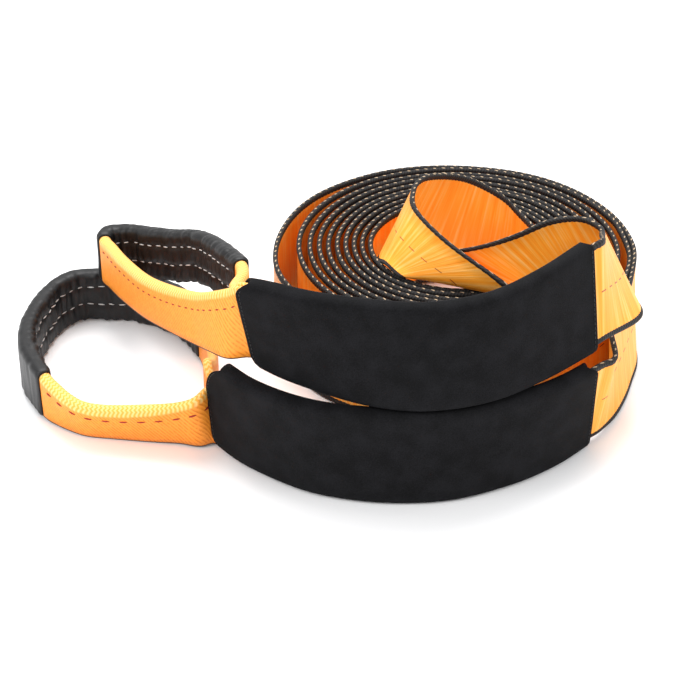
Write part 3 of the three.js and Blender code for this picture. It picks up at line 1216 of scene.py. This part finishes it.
@dataclass
class Studio:
    """The pale floor, the soft lights and the camera, set where the photograph was taken from."""

    origin: Vector
    elevation: float = 32.8
    distance: float = 1.5
    focal: float = 100.8
    target: Colour = (-0.085, -0.0495, 0.010)
    floor_size: float = 6.0
    sky: float = 0.95

    def floor(self) -> None:
        """A wide pale floor."""
        mesh = bmesh.new()
        bmesh.ops.create_grid(mesh, x_segments=1, y_segments=1, size=self.floor_size)
        piece = finished("floor", mesh)
        shader = Shader("floor_white")
        tone = shader.grain(None, 0.7)
        colour = shader.mix(tone, (0.93, 0.93, 0.94), (0.96, 0.96, 0.965))
        piece.data.materials.append(shader.finish(colour, 0.7, tone, 0.1 * MM, 0.2))

    def light(self, name: str, place: Colour, size: float, power: float) -> None:
        """Adds one square soft light that faces the coil.

        Args:
            name: the light's name.
            place: where it hangs, from the coil's foot.
            size: the length of its side.
            power: in watts.
        """
        data = bpy.data.lights.new(name, "AREA")
        data.energy = power
        data.size = size
        lamp = bpy.data.objects.new(name, data)
        lamp.location = Vector(place) + self.origin
        lamp.rotation_mode = "QUATERNION"
        lamp.rotation_quaternion = Vector(place).to_track_quat("Z", "Y")
        bpy.context.scene.collection.objects.link(lamp)

    def lights(self) -> None:
        """Soft light from above and both sides, under a white sky."""
        self.light("overhead", (-0.2, 0.5, 1.8), 1.2, 38.0)
        self.light("left_front", (-1.4, -1.0, 1.3), 0.9, 14.0)
        self.light("right_front", (1.4, -0.9, 1.2), 0.9, 9.0)
        world = bpy.data.worlds.new("white")
        bpy.context.scene.world = world
        world.use_nodes = True
        sky = next(n for n in world.node_tree.nodes if n.type == "BACKGROUND")
        sky.inputs["Color"].default_value = (1.0, 1.0, 1.0, 1.0)
        sky.inputs["Strength"].default_value = self.sky
        bpy.context.scene.view_settings.view_transform = "Standard"

    def camera(self) -> None:
        """The camera at the photograph's angle."""
        data = bpy.data.cameras.new("camera")
        data.sensor_width = 36.0
        data.lens = self.focal
        camera = bpy.data.objects.new("camera", data)
        rise = math.radians(self.elevation)
        back = Vector((0.0, -math.cos(rise), math.sin(rise)))
        camera.location = Vector(self.target) + self.origin + back * self.distance
        camera.rotation_mode = "QUATERNION"
        camera.rotation_quaternion = back.to_track_quat("Z", "Y")
        bpy.context.scene.collection.objects.link(camera)
        bpy.context.scene.camera = camera


def eye_steps() -> tuple[list, list]:
    """The walks of the upper and lower eye from the mouths of their sleeves.

    Returns:
        For each eye, rows of the plan distance, the height of the low edge, the width, and how
        far its high edge leans forward, where it does. All are in millimetres.
    """
    skin_mm = SIZES.pad_skin / MM
    width = SIZES.eye_width / MM
    on_floor = skin_mm + SIZES.clearance / MM / 3
    over_pad = width + 3 * skin_mm + SIZES.clearance / MM
    upper = [
        (-13, 6.5, 89, 56, 2), (-26, 23, 84, 50, 4), (-38, 43, 77, 46, 6), (-58, 74, 69, 41, 7),
        (-79, 107, 60, width, 7), (-99, 144, 52, width, 5), (-111, 168, 48, width, 2),
        (-118, 182, over_pad, width), (-117, 192, over_pad, width), (-109, 195, over_pad, width),
        (-97, 191, 48, width), (-82, 180, 52, width), (-62, 164, 59, width), (-46, 151, 66, width),
        (-31, 129, 73, width), (-17, 101, 79, width), (-8, 79, 84, width), (-6, 58, 88, width),
        (-9, 42, 90, width + 1), (-10, 27, 90, 46), (-6, 14, 88, 54)]
    padded = [(-115, 26.5, 9), (-124.5, 35.5, 4), (-138, 59, 0), (-144, 77, 0), (-146, 105, 0),
              (-141, 135, 0), (-132, 159, 0), (-120, 172, 0), (-105, 175, 0), (-85, 174, 0),
              (-66, 168, 0), (-47, 157, 0), (-29.5, 140, 0), (-15, 113, 0), (-7, 79, 0)]
    lower = [
        (-11.65, -1, 2.4, 51, 14), (-25.85, 3, 2.4, 46, 17), (-47.5, 7, 2.5, 42, 18),
        (-75.5, 11, 2.5, width, 18), (-93.5, 14, 2.5, width, 17), (-105.5, 20, 2.5, width, 14),
        *((dx, dy, on_floor, width, lean) for dx, dy, lean in padded),
        (-4, 50, 2, 44), (-4, 31.8, 4, 50), (-5, 16.2, 7, 56)]
    return upper, lower


def main() -> None:
    """Builds and dresses the strap, and sets the studio."""
    logging.basicConfig(level=logging.INFO, format="%(message)s")
    low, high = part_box("coil_turns")
    origin = Vector(((low.x + high.x) / 2, (low.y + high.y) / 2, 0.0))
    size = SIZES
    sleeve_cloth = ClothFinish(
        "sleeve_cloth", dark=(0.0025, 0.0025, 0.003), bloom=(0.0085, 0.0085, 0.010),
        weave=0.8 * MM, roughness=0.85, depth=0.12 * MM, gloss=0.14).material()
    pad_cloth = ClothFinish(
        "pad_cloth", dark=(0.004, 0.004, 0.0045), bloom=(0.011, 0.011, 0.012),
        weave=0.6 * MM, roughness=0.42, depth=0.08 * MM, gloss=0.35).material()
    lower = Sleeve("sleeve_lower", LOWER_ROUTE, 0.0, (12 * MM, 29 * MM, 6 * MM, 7 * MM), origin,
                   slant=9 * MM, mouth=52 * MM, sink=13 * MM)
    upper = Sleeve("sleeve_upper", UPPER_ROUTE, size.sleeve_width + size.clearance,
                   (13 * MM, 11 * MM, 5 * MM, 4 * MM), origin)
    black = Stitching("sleeve_stitching",
                      ThreadFinish("thread_black", (0.02, 0.02, 0.022), (0.004, 0.004, 0.004)),
                      length=2.6 * MM, gap=0.9 * MM, radius=0.3 * MM)
    for sleeve in (lower, upper):
        piece = dressed(sleeve.build(), sleeve_cloth, [sleeve.name])
        black.seams += sleeve.stitches()
    black.dress(black.build())

    webbing = Webbing(lower, upper, origin)
    webbing.dress(webbing.build(), WebbingFinish().material())

    eye_cloth = EyeFinish().material()
    upper_steps, lower_steps = eye_steps()
    thread = ThreadFinish("thread_red", (0.45, 0.02, 0.01), (0.2, 0.008, 0.004))
    dashes = {"upper": Stitching("eye_upper_stitching", thread,
                                 length=4.4 * MM, gap=5.0 * MM, radius=0.55 * MM),
              "lower": Stitching("eye_lower_stitching", thread,
                                 length=6.2 * MM, gap=6.8 * MM, radius=0.8 * MM)}
    white = Stitching("pad_stitching",
                      ThreadFinish("thread_white", (0.85, 0.85, 0.83), (0.5, 0.5, 0.5)),
                      length=5.6 * MM, gap=3.2 * MM, radius=0.5 * MM)
    for name, sleeve, steps, span in (("upper", upper, upper_steps, (10, 19)),
                                      ("lower", lower, lower_steps, (10, 22))):
        eye = Eye(f"eye_{name}", sleeve, steps)
        eye.dress(eye.build(), eye_cloth)
        pad = Pad(f"pad_{name}", eye, span)
        pad.dress(pad.build(), pad_cloth)
        white.seams += pad.seams()
        red = dashes[name]
        red.seams.append(eye.seam((16 * MM, 9 * MM), pad.start))
        red.dress(red.build())
    white.dress(white.build())

    studio = Studio(origin)
    studio.floor()
    studio.lights()
    studio.camera()


if __name__ == "__main__":
    main()
